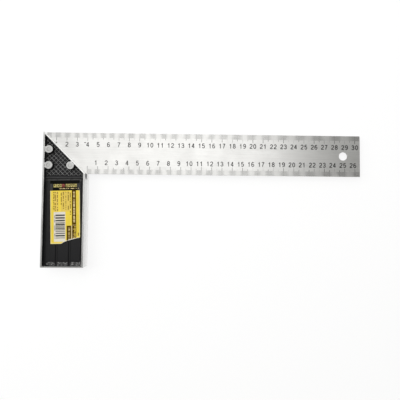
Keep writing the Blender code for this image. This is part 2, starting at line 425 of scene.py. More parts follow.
footStrip = {
    "middle": 3.3 * mm,                 # above the foot
    "half": 2.8 * mm,
    "gap": 1.3 * mm,                    # left clean under each groove, a little to its left
    "gapShift": 0.7 * mm,
    "start": 5.0 * mm,                  # from the stock's outer side
    "scuffing": (0.55, 0.22),           # in the middle of the strip and elsewhere
    "cleaner": 0.14,
    "scuffs": [
        {"stretch": (0.7, 1.3, 0.0), "noise": (1300.0, 3.0, 0.75), "edge": (0.0, 0.05), "amount": 0.14},
        {"stretch": (0.6, 1.4, 0.0), "noise": (760.0, 2.0, 0.6), "edge": (0.10, 0.13), "amount": 0.65},
    ],
}


def wallChips(tree, place):
    # chips at the top of the walls, wear along the bar, and scuffs on the strip at the foot
    depth = depthUnderFace(tree, place)
    topEdge = spread(tree, depth, 0.0, paintLook["chipReach"], *paintLook["chipping"])
    ragged = noiseAt(tree, place, 900.0, 4.0, 0.65)
    chips = spread(tree, calc(tree, "SUBTRACT", topEdge, ragged), 0.0, 0.03)
    offBar = offFrom(tree, axesOf(tree, place)["Y"], barMiddle())
    onBar = calc(tree, "LESS_THAN", offBar, panel["barWidth"] * 0.35)
    high = calc(tree, "LESS_THAN", depth, pocket["depth"] - panel["rise"] * 0.7)
    worn = chain(tree, "MULTIPLY", onBar, high, panel["barRub"])
    return chain(tree, "MAXIMUM", chips, worn, footScuffs(tree, place))


def footScuffs(tree, place):
    # fine and broad scuffs in three groups, kept apart by cleaner gaps
    axes = axesOf(tree, place)
    offStrip = offFrom(tree, axes["Y"], stockLow.y + footStrip["middle"])
    onStrip = spread(tree, offStrip, footStrip["half"] * 0.5, footStrip["half"], *footStrip["scuffing"])
    middle = stockLow.x + stockWidth / 2 - footStrip["gapShift"]
    offGroove = offFrom(tree, offFrom(tree, axes["X"], middle), panel["grooveSpread"])
    clean = spread(tree, offGroove, footStrip["gap"] * 0.7, footStrip["gap"], footStrip["cleaner"], 0.0)
    start = stockLow.x + footStrip["start"]
    atStart = spread(tree, axes["X"], start - mm, start, footStrip["cleaner"], 0.0)
    onStrip = calc(tree, "SUBTRACT", onStrip, calc(tree, "MAXIMUM", clean, atStart))
    bare = []
    for scuff in footStrip["scuffs"]:
        speckle = noiseAt(tree, vectorCalc(tree, "MULTIPLY", place, scuff["stretch"]), *scuff["noise"])
        over = calc(tree, "SUBTRACT", onStrip, speckle)
        bare.append(spread(tree, over, *scuff["edge"], 0.0, scuff["amount"]))
    return chain(tree, "ADD", *bare)


def barMiddle():
    return outerCorner.y - bladeWidth - panel["barBelowBlade"]


def grooveSoot(tree, place):
    # painted shade along both edges of each groove, dull enough to show no sheen
    axes = axesOf(tree, place)
    offMiddle = offFrom(tree, axes["X"], stockLow.x + stockWidth / 2)
    offEdge = offFrom(tree, offFrom(tree, offMiddle, panel["grooveSpread"]), panel["grooveWidth"] / 2)
    line = spread(tree, offEdge, panel["grooveShadeReach"] * 0.4, panel["grooveShadeReach"], panel["grooveShade"], 0.0)
    below = calc(tree, "LESS_THAN", axes["Y"], outerCorner.y + panelSides()[3])
    return calc(tree, "MULTIPLY", line, below)


dustAndLightLook = {
    "colour": (0.16, 0.155, 0.15),
    "specks": 0.18,
    # pale strips, of dust and painted light, above the label and by the inner wall
    "ledgeLight": (0.12, 0.36),              # on the panel above the label, left and right
    "ledgeLightWidth": 1.9 * mm,
    "wallLight": 0.34,                      # along the foot of the inner wall
    "wallLightReach": 2.6 * mm,
}


def dustOn(tree, place, specks):
    # a few specks of dust everywhere, a thin pale strip along the foot of the inner wall, partly dust and
    # partly painted light, and a painted highlight with dust on the panel above the label
    axes = axesOf(tree, place)
    offWall = calc(tree, "SUBTRACT", stockHigh.x - pocket["rim"], axes["X"])
    reach = dustAndLightLook["wallLightReach"]
    wallLight = spread(tree, offWall, reach * 0.6, reach, dustAndLightLook["wallLight"], 0.0)
    halfLedge = dustAndLightLook["ledgeLightWidth"] / 2
    offLedge = offFrom(tree, axes["Y"], outerCorner.y + panelSides()[3] - halfLedge)
    ledgeLight = spread(tree, axes["X"], stockLow.x, stockHigh.x, *dustAndLightLook["ledgeLight"])
    ledgeLight = calc(tree, "MULTIPLY", calc(tree, "LESS_THAN", offLedge, halfLedge), ledgeLight)
    uneven = spread(tree, noiseAt(tree, place, 260.0, 3.0, 0.6), 0.35, 0.65, 0.6, 1.0)
    wallLight = calc(tree, "MULTIPLY", calc(tree, "MAXIMUM", wallLight, ledgeLight), uneven)
    specks = calc(tree, "MULTIPLY", specks, dustAndLightLook["specks"])
    return calc(tree, "MAXIMUM", wallLight, specks)


def crestRub(tree, place):
    # the lattice's crests are lighter: rubbed paint with a painted highlight
    depth = depthUnderFace(tree, place)
    crestDepth = pocket["depth"] - lattice["height"]
    crest = spread(tree, depth, crestDepth, crestDepth + lattice["rubAndHighlightDepth"], 1.0, 0.0)
    ragged = spread(tree, noiseAt(tree, place, 1500.0, 3.0, 0.6), 0.30, 0.62, 0.45, 1.0)
    return chain(tree, "MULTIPLY", crest, ragged, lattice["rubAndHighlight"])


def makeCreep(rimDistance):
    # stray paint along the rims' inner edges, wider in places
    def creep(tree, place):
        distance = useGroup(tree, rimDistance, Vector=place)["Distance"]
        ragged = noiseAt(tree, place, 700.0, 4.0, 0.7)
        sway = spread(tree, noiseAt(tree, place, 130.0, 1.0, 0.5), 0.42, 0.66, 0.25, 1.0)
        reach = calc(tree, "MULTIPLY", sway, -paintLook["creepReach"])
        edge = spread(tree, distance, reach, paintLook["creepFull"], *paintLook["creeping"])
        inside = calc(tree, "LESS_THAN", distance, paintLook["creepEnd"])
        return calc(tree, "MULTIPLY", inside, spread(tree, calc(tree, "SUBTRACT", edge, ragged), 0.0, 0.03))
    return creep


sideLook = {
    "shine": 0.9,
    "shineFade": (0.3, 1.2),            # shares of the mitre rim's width
    # painted shade in the inner corner, and a darker upper half on every side
    "cornerShade": 0.9,
    "cornerShadeFade": (3.0 * mm, 7.0 * mm),  # below the blade's inner edge
    "darkerTop": 0.13,
    "darkerTopFade": (4.0 * mm, 9.0 * mm),  # above the back face
}


def mitreShine(tree, place):
    # the rim along the mitre is given a lighter colour than the other rims
    axes = axesOf(tree, place)
    reach = pocket["mitreRim"]
    across = calc(tree, "ADD", axes["X"], axes["Y"])
    start = (outerCorner.x + outerCorner.y) * mitreWay[0]
    offMitre = calc(tree, "MULTIPLY_ADD", across, -mitreWay[0], start)
    near, far = sideLook["shineFade"]
    return spread(tree, offMitre, reach * near, reach * far, sideLook["shine"], 0.0)


def cornerGrime(tree, place):
    # painted shade on the stock's inner side, in the corner over the blade's inner edge, for the floor's
    # shadow that the side reflects there; and a darker colour on the upper half of every side
    axes = axesOf(tree, place)
    # painted shade, fading away below the blade's inner edge
    below = calc(tree, "SUBTRACT", outerCorner.y - bladeWidth, axes["Y"])
    fade = spread(tree, below, *sideLook["cornerShadeFade"], sideLook["cornerShade"], 0.0)
    onInner = calc(tree, "GREATER_THAN", axes["X"], stockHigh.x - 0.05 * mm)
    upper = spread(tree, axes["Z"], bladeLow.z, bladeHigh.z)
    corner = chain(tree, "MULTIPLY", fade, onInner, upper)
    # darker towards the top of every side, less so near the mitre
    darkerTop = spread(tree, axes["Z"], *sideLook["darkerTopFade"], 0.0, sideLook["darkerTop"])
    darkerTop = calc(tree, "MULTIPLY", darkerTop, calc(tree, "SUBTRACT", 1.0, mitreShine(tree, place)))
    return calc(tree, "MAXIMUM", corner, darkerTop)


# Outlines, anticlockwise lists of (x, y) in drawing coordinates

def offsetOutline(outline, insets):
    # moves each side of a convex outline inwards; insets[i] is for the side after point i
    sides = []
    for i, (x0, y0) in enumerate(outline):
        x1, y1 = outline[(i + 1) % len(outline)]
        length = math.hypot(x1 - x0, y1 - y0)
        nx, ny = -(y1 - y0) / length, (x1 - x0) / length
        sides.append((nx, ny, nx * x0 + ny * y0 + insets[i]))
    moved = []
    for i, (a1, b1, c1) in enumerate(sides):
        a0, b0, c0 = sides[i - 1]
        det = a0 * b1 - a1 * b0
        moved.append(((c0 * b1 - c1 * b0) / det, (a0 * c1 - a1 * c0) / det))
    return moved


def inset(outline, distance):
    return offsetOutline(outline, [distance] * len(outline))


def roundOutline(outline, radius, steps=5):
    rounded = []
    for i, (x, y) in enumerate(outline):
        px, py = outline[i - 1]
        qx, qy = outline[(i + 1) % len(outline)]
        startAngle = math.atan2(y - py, x - px) - math.pi / 2
        turn = (math.atan2(qy - y, qx - x) - math.pi / 2 - startAngle) % (2 * math.pi)
        back = radius * math.tan(turn / 2)
        length = math.hypot(x - px, y - py)
        tx, ty = x - (x - px) / length * back, y - (y - py) / length * back
        cx = tx - radius * math.cos(startAngle)
        cy = ty - radius * math.sin(startAngle)
        for step in range(steps + 1):
            angle = startAngle + turn * step / steps
            rounded.append((cx + radius * math.cos(angle), cy + radius * math.sin(angle)))
    return rounded


def circleOutline(centre, radius, sides=64):
    angles = [2 * math.pi * i / sides for i in range(sides)]
    return [(centre[0] + radius * math.cos(a), centre[1] + radius * math.sin(a)) for a in angles]


def boxOutline(x0, y0, x1, y1):
    return [(x0, y0), (x1, y0), (x1, y1), (x0, y1)]


def stripOutline(start, end, width):
    dx, dy = end[0] - start[0], end[1] - start[1]
    length = math.hypot(dx, dy)
    sx, sy = dy / length * width / 2, -dx / length * width / 2
    return [(start[0] + sx, start[1] + sy), (end[0] + sx, end[1] + sy),
            (end[0] - sx, end[1] - sy), (start[0] - sx, start[1] - sy)]


# Solids

def addPiece(name, mesh):
    piece = bpy.data.objects.new(name, mesh)
    bpy.context.scene.collection.objects.link(piece)
    return piece


def addWires(name, points, edges):
    mesh = bpy.data.meshes.new(name)
    mesh.from_pydata(points, edges, [])
    return addPiece(name, mesh)


def addSolid(name, bm):
    bmesh.ops.recalc_face_normals(bm, faces=bm.faces)
    mesh = bpy.data.meshes.new(name)
    bm.to_mesh(mesh)
    bm.free()
    return addPiece(name, mesh)


def useMaterials(piece, *materials):
    piece.data.materials.clear()
    for material in materials:
        piece.data.materials.append(material)


def loft(name, sections):
    # a closed solid through (outline, z) sections with the same number of points
    bm = bmesh.new()
    rings = [[bm.verts.new((x, y, z)) for x, y in outline] for outline, z in sections]
    for low, high in zip(rings, rings[1:]):
        for i in range(len(low)):
            j = (i + 1) % len(low)
            bm.faces.new((low[i], low[j], high[j], high[i]))
    bm.faces.new(list(reversed(rings[0])))
    bm.faces.new(rings[-1])
    return addSolid(name, bm)


def prism(name, outline, z0, z1):
    return loft(name, [(outline, z0), (outline, z1)])


def applyModifiers(piece):
    graph = bpy.context.evaluated_depsgraph_get()
    finished = bpy.data.meshes.new_from_object(piece.evaluated_get(graph), depsgraph=graph)
    piece.modifiers.clear()
    piece.data = finished
    return piece


def carve(piece, cutters):
    # cuts each cutter out of the piece for good, then deletes it
    for cutter in cutters:
        boolean = piece.modifiers.new(cutter.name, "BOOLEAN")
        boolean.operation = "DIFFERENCE"
        boolean.solver = "EXACT"
        boolean.object = cutter
    applyModifiers(piece)
    for cutter in cutters:
        bpy.data.objects.remove(cutter)
    return piece


def settle(piece, node, sharpAngle=35):
    # places a piece drawn in drawing coordinates, smooths it and hands it to the frame
    piece.data.transform(Matrix.Translation(outerCorner))
    piece.data.shade_smooth()
    piece.data.set_sharp_from_angle(angle=math.radians(sharpAngle))
    weighted = piece.modifiers.new("weightedNormals", "WEIGHTED_NORMAL")
    weighted.keep_sharp = True
    applyModifiers(piece)
    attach(piece, "root")
    if node:
        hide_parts(node)
    return piece


# Stock

pocket = {
    "rim": 1.65 * mm,
    "mitreRim": 1.2 * mm,
    "footRim": 1.3 * mm,
    "depth": 4.0 * mm,
    "corner": 0.4 * mm,
    "draft": math.radians(3),
    "edge": 0.18 * mm,                  # rounding of the rim's edge
    "fillet": 0.45 * mm,                # where a wall meets the floor
    "outerEdge": 0.35 * mm,
    "over": 1.0 * mm,                   # how far cutters run past a face
    "paintLine": 0.07 * mm,             # depth where grinding stopped and paint stays
    "slack": 0.2 * mm,                  # past the floor, for the grooves' sake
}

bosses = {
    "radius": 3.65 * mm,
    "neck": 5.0 * mm,
    "holeGap": 0.04 * mm,
    "bareRing": 0.3 * mm,               # unpainted, round each hole
    "rivetRadius": 2.0 * mm,
}

panel = {
    "rise": 1.2 * mm,
    "sideInset": 2.25 * mm,
    "footInset": 4.6 * mm,
    "barWidth": 0.9 * mm,
    "barBelowBlade": 4.1 * mm,
    "barToPanel": 1.2 * mm,
    "barRub": 0.065,
    "edge": 0.22 * mm,
    "fillet": 0.18 * mm,
    "corner": 0.5 * mm,
    "grooveWidth": 1.8 * mm,
    "grooveDepth": 0.4 * mm,
    "grooveSpread": 6.1 * mm,
    # painted shade along both edges of each groove, and how far it reaches
    "grooveShade": 0.95,
    "grooveShadeReach": 0.34 * mm,
}

mitreWay = (math.sqrt(0.5), math.sqrt(0.5))


def stockOutline():
    return [(0, 0), (0, -stockLength), (stockWidth, -stockLength), (stockWidth, -stockWidth)]


def pocketOutline(extra):
    insets = [pocket["rim"], pocket["footRim"], pocket["rim"], pocket["mitreRim"]]
    inner = offsetOutline(stockOutline(), [value + extra for value in insets])
    return roundOutline(inner, pocket["corner"])


def pocketSides():
    # a point on each wall's line and the way into the pocket
    rim = pocket["rim"]
    inX, inY = -mitreWay[0], -mitreWay[1]
    return [
        ((rim, 0), (1, 0)),
        ((0, -stockLength + pocket["footRim"]), (0, 1)),
        ((stockWidth - rim, 0), (-1, 0)),
        ((inX * pocket["mitreRim"], inY * pocket["mitreRim"]), (inX, inY)),
    ]


def panelSides():
    left = pocket["rim"] + panel["sideInset"]
    top = -bladeWidth - panel["barBelowBlade"] - panel["barToPanel"]
    foot = -stockLength + pocket["footRim"] + panel["footInset"]
    return left, foot, stockWidth - left, top


def quarterSteps(count=4):
    return [math.pi / 2 * step / count for step in range(count + 1)]


def wallProfile(topDepth, edge, fillet):
    # (inset, depth) down a cast wall: rounded edge, drafted wall, fillet onto the floor
    lean = math.tan(pocket["draft"])
    foot = pocket["depth"] - fillet
    profile = [(-edge + edge * math.sin(a), topDepth + edge - edge * math.cos(a)) for a in quarterSteps()]
    run = (foot - topDepth) * lean
    profile += [(run + fillet - fillet * math.cos(a), foot + fillet * math.sin(a)) for a in quarterSteps()]
    return profile


def heightAt(face, depth):
    return thickness - depth if face == "front" else depth


def islandCutter(face, outline, topDepth, edge, fillet):
    # an island that stands in the pocket, wider towards the floor
    profile = wallProfile(topDepth, edge, fillet)
    deep = pocket["depth"] + pocket["over"]
    sections = [(inset(outline, -profile[-1][0]), heightAt(face, deep))]
    sections += [(inset(outline, -run), heightAt(face, depth)) for run, depth in reversed(profile)]
    if topDepth == 0:
        sections.append((sections[-1][0], heightAt(face, -2 * pocket["over"])))
    return loft("island", sections)


# each rivet's centre, and the way to the rim that its boss joins
rivetPlaces = [
    (onDrawing("rivet_upper"), (-1, 0)),
    (onDrawing("rivet_lower"), (-1, 0)),
    (onDrawing("rivet_mitre"), mitreWay),
]


def rimPoint(centre, way, past):
    # from a boss's centre to the rim, and a little past it
    if way[0] < 0:
        reach = centre[0] - pocket["rim"]
    else:
        reach = -(centre[0] + centre[1]) * mitreWay[0] - pocket["mitreRim"]
    return centre[0] + way[0] * (reach + past), centre[1] + way[1] * (reach + past)


def pocketCutter(face):
    profile = wallProfile(0, pocket["edge"], pocket["fillet"])
    sections = [(pocketOutline(run), heightAt(face, depth)) for run, depth in reversed(profile)]
    sections.append((sections[-1][0], heightAt(face, -pocket["over"])))
    hollow = loft("hollow", sections)
    islands = []
    for centre, way in rivetPlaces:
        neck = stripOutline(centre, rimPoint(centre, way, pocket["over"]), bosses["neck"])
        boss = circleOutline(centre, bosses["radius"])
        islands.append(islandCutter(face, boss, 0, pocket["edge"], pocket["fillet"]))
        islands.append(islandCutter(face, neck, 0, pocket["edge"], pocket["fillet"]))
    topDepth = pocket["depth"] - panel["rise"]
    barY = -bladeWidth - panel["barBelowBlade"]
    bar = boxOutline(0, barY - panel["barWidth"] / 2, stockWidth, barY + panel["barWidth"] / 2)
    plate = roundOutline(boxOutline(*panelSides()), panel["corner"])
    for outline in (bar, plate):
        islands.append(islandCutter(face, outline, topDepth, panel["edge"], panel["fillet"]))
    return carve(hollow, islands)


def grooveCutters(face):
    foot, top = panelSides()[1::2]
    edge = panel["edge"]
    topDepth = pocket["depth"] - panel["rise"]
    profile = [(0.0, topDepth + panel["grooveDepth"])]
    for a in reversed(quarterSteps(3)):
        profile.append((edge - edge * math.sin(a), topDepth + edge - edge * math.cos(a)))
    profile.append((edge, topDepth - pocket["over"]))
    low, high = foot - pocket["over"], top + pocket["over"] / 2
    cutters = []
    for side in (-1, 1):
        middle = stockWidth / 2 + side * panel["grooveSpread"]
        sections = []
        for flare, depth in profile:
            half = panel["grooveWidth"] / 2 + flare
            sections.append((boxOutline(middle - half, low, middle + half, high), heightAt(face, depth)))
        cutters.append(loft("groove", sections))
    return cutters


def slotCutter():
    gap = 0.05 * mm
    middle = thickness / 2
    half = (bladeHigh.z - bladeLow.z) / 2 + gap
    outline = boxOutline(-pocket["over"], -bladeWidth - gap, stockWidth + pocket["over"], pocket["over"])
    return prism("slot", outline, middle - half, middle + half)


def holeCutters(z0, z1):
    radius = bosses["rivetRadius"] + bosses["holeGap"]
    return [prism("hole", circleOutline(centre, radius), z0, z1) for centre, way in rivetPlaces]


def isPainted(centre):
    depth = min(centre.z, thickness - centre.z)
    if not pocket["paintLine"] < depth < pocket["depth"] + pocket["slack"]:
        return False
    for (x, y), (nx, ny) in pocketSides():
        if (centre.x - x) * nx + (centre.y - y) * ny < -pocket["edge"]:
            return False
    reach = bosses["rivetRadius"] + bosses["bareRing"]
    return all(math.dist(centre.xy, place) > reach for place, way in rivetPlaces)


def stockMaterial(polygon):
    # 0 ground face, 1 paint, 2 machined side
    if isPainted(polygon.center):
        return 1
    x, y = polygon.center.xy
    outside = min(x, y + stockLength, stockWidth - x, -(x + y) * mitreWay[0])
    return 2 if outside < pocket["outerEdge"] * 0.5 and abs(polygon.normal.z) < 0.9 else 0


def makeStock(metal, paint, sideMetal):
    stock = prism("stock_casting", stockOutline(), 0, thickness)
    bevel = stock.modifiers.new("edgeBreak", "BEVEL")
    bevel.width = pocket["outerEdge"]
    bevel.segments = 3
    cutters = []
    for face in ("front", "back"):
        cutters.append(pocketCutter(face))
        cutters += grooveCutters(face)
    cutters.append(slotCutter())
    cutters += holeCutters(-pocket["over"], thickness + pocket["over"])
    carve(stock, cutters)
    useMaterials(stock, metal, paint, sideMetal)
    for polygon in stock.data.polygons:
        polygon.material_index = stockMaterial(polygon)
    return settle(stock, "stock")


# Lattice cast into the pocket's upper part

lattice = {
    "acrossX": 4.25 * mm,               # from crossing to crossing
    "acrossY": 4.2 * mm,
    "width": 2.35 * mm,
    "height": 0.62 * mm,
    "bossGap": 0.75 * mm,               # bare ring round each boss
    "wallGap": 0.30 * mm,
    "aboveBar": 2.3 * mm,               # lowest ridge end to the middle of the bar
    "shortest": 0.7 * mm,
    "lines": 25,                        # each way, more than enough to cross the pocket
    "startX": 0.78 * mm,
    "startY": -0.21 * mm,
    # rubbed paint with a painted highlight on the crests
    "rubAndHighlight": 0.85,
    "rubAndHighlightDepth": 0.10 * mm,
}


def spanIn(start, way, outline):
    # the stretch of a line that lies inside a convex outline, or None
    low, high = -1.0, 1.0
    for i, (x0, y0) in enumerate(outline):
        x1, y1 = outline[(i + 1) % len(outline)]
        nx, ny = -(y1 - y0), x1 - x0
        slope = way[0] * nx + way[1] * ny
        offset = (start[0] - x0) * nx + (start[1] - y0) * ny
        if abs(slope) < 1e-12:
            if offset < 0:
                return None
        elif slope > 0:
            low = max(low, -offset / slope)
        else:
            high = min(high, -offset / slope)
    return (low, high) if high > low else None


def latticeSpans():
    floorInset = pocket["depth"] * math.tan(pocket["draft"]) + lattice["wallGap"]
    region = pocketOutline(floorInset)
    bottom = -bladeWidth - panel["barBelowBlade"] + lattice["aboveBar"]
    region = [(x, max(y, bottom)) for x, y in region]
    region = [point for i, point in enumerate(region) if math.dist(point, region[i - 1]) > 1e-7]
    holes = []
    for centre, way in rivetPlaces:
        gap = lattice["bossGap"]
        holes.append(circleOutline(centre, bosses["radius"] + gap))
        holes.append(stripOutline(centre, rimPoint(centre, way, 0), bosses["neck"] + 2 * gap))
    spans = []
    for lean in (1, -1):
        length = math.hypot(lattice["acrossX"], lattice["acrossY"])
        way = (lattice["acrossX"] / length, lean * lattice["acrossY"] / length)
        for k in range(-lattice["lines"], lattice["lines"]):
            start = (lattice["startX"] + k * lattice["acrossX"], -bladeWidth + lattice["startY"])
            whole = spanIn(start, way, region)
            if not whole:
                continue
            kept = [whole]
            for hole in holes:
                cut = spanIn(start, way, hole)
                if cut:
                    before = [(low, min(high, cut[0])) for low, high in kept]
                    after = [(max(low, cut[1]), high) for low, high in kept]
                    kept = [(low, high) for low, high in before + after if high > low]
            for low, high in kept:
                if high - low > lattice["shortest"]:
                    spans.append([(start[0] + way[0] * t, start[1] + way[1] * t) for t in (low, high)])
    return spans


def finishTree(tree, geometry, given, result):
    # plain geometry in the given material
    real = addNode(tree, "GeometryNodeRealizeInstances", Geometry=geometry)
    dressed = addNode(tree, "GeometryNodeSetMaterial", Geometry=real, Material=given["Material"])
    tree.links.new(dressed, result["Geometry"])
    return tree


def uprightPaths(tree, given):
    # the mesh's edges as paths whose sections stand upright
    paths = addNode(tree, "GeometryNodeMeshToCurve", Mesh=given["Geometry"])
    return addNode(tree, "GeometryNodeSetCurveNormal", {"mode": "Z_UP"}, Curve=paths)


def grow(piece, tree, values):
    # runs a geometry tree on the piece with these values, and keeps the plain mesh
    modifier = piece.modifiers.new(tree.name, "NODES")
    modifier.node_group = tree
    for item in tree.interface.items_tree:
        if item.in_out == "INPUT" and item.name in values:
            modifier[item.identifier] = values[item.name]
    return applyModifiers(piece)


def ridgeTree():
    # every edge of the mesh becomes a ridge: a rod with a diamond section, half sunk in the floor
    sizes = {"Ridge Width": 0.001, "Ridge Height": 0.0005}
    tree, given, result = startGeometry("latticeRidges", sizes)
    ring = addNode(tree, "GeometryNodeCurvePrimitiveCircle", Resolution=4, Radius=1.0)
    halfWidth = calc(tree, "MULTIPLY", given["Ridge Width"], 0.5)
    size = addNode(tree, "ShaderNodeCombineXYZ", X=halfWidth, Y=given["Ridge Height"], Z=1.0)
    oval = addNode(tree, "GeometryNodeTransform", Geometry=ring, Scale=size)
    rods = addNode(tree, "GeometryNodeCurveToMesh", Curve=uprightPaths(tree, given), Profile_Curve=oval,
                   Fill_Caps=True)
    return finishTree(tree, rods, given, result)


def makeLattice(face, tree, paint):
    points = []
    for span in latticeSpans():
        points += [(x, y, heightAt(face, pocket["depth"])) for x, y in span]
    piece = addWires("lattice_" + face, points, [(i, i + 1) for i in range(0, len(points), 2)])
    values = {"Ridge Width": lattice["width"], "Ridge Height": lattice["height"], "Material": paint}
    grow(piece, tree, values)
    return settle(piece, None, 50)


# Blade and its scales

bladeLook = {
    "corner": 0.6 * mm,
    "edge": 0.08 * mm,
    "endSetBack": 0.2 * mm,
    "hangRadius": 4.0 * mm,
    "hangFromEnd": 16.6 * mm,
    "hangChamfer": 0.12 * mm,
}

# sizes of the marks, under the names of their tree's inputs
markSizes = {
    "Spacing": 1.0 * mm,
    "Mark Width": 0.33 * mm,
    "Extra Width": 0.07 * mm,           # added to every fifth mark
    "Short": 4.7 * mm,
    "Middle": 6.2 * mm,
    "Long": 7.7 * mm,
    "Raise": 0.02 * mm,
}

scaleLook = {
    "wearMost": (0.88, 0.62),           # at the stock and at the free end
    "wearLeast": (0.14, 0.0),
    "wearPerMetre": (138.0, 125.0),     # worn patches near the stock, at the inner and at the outer edge
    "wearSlowing": -136.0,              # fewer of them further along, per metre again
    "wearChange": (0.15, 0.29),         # metres along, between which the wear lessens
    "wearFade": (-0.5, 0.8),            # of each patch's wave
    "wearWaver": 4.0,
    "edgeGap": 0.1 * mm,
    "innerStart": stockWidth,
    "digitHeight": 4.5 * mm,
    "digitAdvance": 3.6 * mm,
    "stroke": 0.70 * mm,
    "strokeGrowth": (190 * mm, 250 * mm, 1.18),   # strokes are heavier towards the free end
    "outerMiddle": 11.3 * mm,           # scale edge to the middle of its numerals
    "innerMiddle": 11.1 * mm,
    "innerShift": -1.9 * mm,
    "fleck": (36.5 * mm, -9.6 * mm),    # a short plain dash beside the outer 4
    "fleckLength": 1.9 * mm,
    "strokeStep": 0.002 * mm,           # keeps crossing strokes from sharing a face
    "outerLast": 30,
    "innerLast": 26,
}


def makeBlade(metal):
    z0, z1 = bladeLow.z, bladeHigh.z
    edge = bladeLook["edge"]
    square = boxOutline(bladeLook["endSetBack"], -bladeWidth, bladeLength, 0)
    full = roundOutline(square, bladeLook["corner"])
    slim = roundOutline(inset(square, edge), bladeLook["corner"] - edge)
    blade = loft("blade_steel", [(slim, z0), (full, z0 + edge), (full, z1 - edge), (slim, z1)])
    centre = (bladeLength - bladeLook["hangFromEnd"], -bladeWidth / 2)
    radius, chamfer = bladeLook["hangRadius"], bladeLook["hangChamfer"]
    wide = circleOutline(centre, radius + chamfer, 96)
    neat = circleOutline(centre, radius, 96)
    over = pocket["over"]
    cutters = [loft("hang", [(wide, z0 - over), (wide, z0), (neat, z0 + chamfer), (neat, z1 - chamfer),
                             (wide, z1), (wide, z1 + over)])]
    carve(blade, cutters + holeCutters(z0 - over, z1 + over))
    useMaterials(blade, metal)
    return settle(blade, "blade")


def markTree():
    # a row of marks: every tenth is long, every fifth middling, and both are cut heavier than the rest
    placing = {"First": 0, "Marks": 100, "Start": (0, 0, 0), "Side": 1.0}
    tree, given, result = startGeometry("scaleMarks", placing | markSizes)
    step = addNode(tree, "ShaderNodeCombineXYZ", X=given["Spacing"])
    row = addNode(tree, "GeometryNodeMeshLine", Count=given["Marks"], Start_Location=given["Start"],
                  Offset=step)
    index = calc(tree, "ADD", addNode(tree, "GeometryNodeInputIndex"), given["First"])
    isTenth = calc(tree, "LESS_THAN", calc(tree, "MODULO", index, 10.0), 0.5)
    isFifth = calc(tree, "LESS_THAN", calc(tree, "MODULO", index, 5.0), 0.5)
    length = given["Short"]
    for isLonger, longer, shorter in ((isFifth, "Middle", "Short"), (isTenth, "Long", "Middle")):
        more = calc(tree, "SUBTRACT", given[longer], given[shorter])
        length = calc(tree, "MULTIPLY_ADD", isLonger, more, length)
    width = calc(tree, "MULTIPLY_ADD", isFifth, given["Extra Width"], given["Mark Width"])
    unit = addNode(tree, "GeometryNodeMeshCube")
    shifted = addNode(tree, "GeometryNodeTransform", Geometry=unit, Translation=(0.0, -0.5, 0.0))
    size = addNode(tree, "ShaderNodeCombineXYZ", X=width, Y=calc(tree, "MULTIPLY", length, given["Side"]),
                   Z=given["Raise"])
    marks = addNode(tree, "GeometryNodeInstanceOnPoints", Points=row, Instance=shifted, Scale=size)
    return finishTree(tree, marks, given, result)


def makeMarks(name, tree, ink, zeroX, first, edgeY, side):
    piece = addPiece(name, bpy.data.meshes.new(name))
    startX = zeroX + first * markSizes["Spacing"]
    reach = bladeLength - startX - scaleLook["edgeGap"] * 3
    placing = {
        "First": first,
        "Marks": int(reach / markSizes["Spacing"]) + 1,
        "Start": (startX, edgeY - side * scaleLook["edgeGap"], bladeHigh.z),
        "Side": float(side),
        "Material": ink,
    }
    grow(piece, tree, placing | markSizes)
    bm = bmesh.new()
    bm.from_mesh(piece.data)
    bmesh.ops.recalc_face_normals(bm, faces=bm.faces)
    bm.to_mesh(piece.data)
    bm.free()
    return settle(piece, None)


def arc(x, y, radiusX, radiusY, start, end, steps=18):
    # points on an oval arc, angles in degrees
    angles = [math.radians(start + (end - start) * i / steps) for i in range(steps + 1)]
    return [(x + radiusX * math.cos(a), y + radiusY * math.sin(a)) for a in angles]


# middle lines of each numeral's strokes, for a numeral 1 high and standing on y = 0
digitStrokes = {
    "0": [arc(0, 0.5, 0.235, 0.442, 90, 450, 36)],
    "1": [[(0.04, 0), (0.04, 1.0)], [(0.04, 0.90), (-0.02, 0.80), (-0.10, 0.755), (-0.20, 0.74)]],
    "2": [arc(0, 0.70, 0.23, 0.242, 172, -25) + [(0.12, 0.45), (-0.14, 0.27), (-0.235, 0.06)],
          [(-0.29, 0.06), (0.28, 0.06)]],
    "3": [arc(-0.01, 0.73, 0.205, 0.212, 165, -90), arc(-0.005, 0.29, 0.235, 0.232, 90, -165),
          [(-0.11, 0.52), (0.0, 0.52)]],
    "4": [[(0.11, 0), (0.11, 1.0)], [(0.085, 0.95), (-0.25, 0.30)], [(-0.29, 0.27), (0.27, 0.27)]],
    "5": [[(0.22, 0.94), (-0.17, 0.94)], [(-0.16, 0.97), (-0.21, 0.46)],
          arc(0, 0.33, 0.235, 0.275, 150, -158, 24)],
    "6": [arc(0, 0.31, 0.232, 0.252, 0, 360, 30),
          [(-0.232, 0.34)] + arc(0.02, 0.50, 0.255, 0.442, 165, 48, 10)],
    "7": [[(-0.27, 0.94), (0.27, 0.94)], [(0.245, 0.93), (0.10, 0.70), (-0.01, 0.42), (-0.09, 0)]],
    "8": [arc(0, 0.735, 0.195, 0.207, 0, 360, 30), arc(0, 0.29, 0.235, 0.232, 0, 360, 30)],
    "9": [arc(0, 0.69, 0.232, 0.252, 0, 360, 30),
          [(0.232, 0.66)] + arc(-0.02, 0.50, 0.255, 0.442, -15, -132, 10)],
}


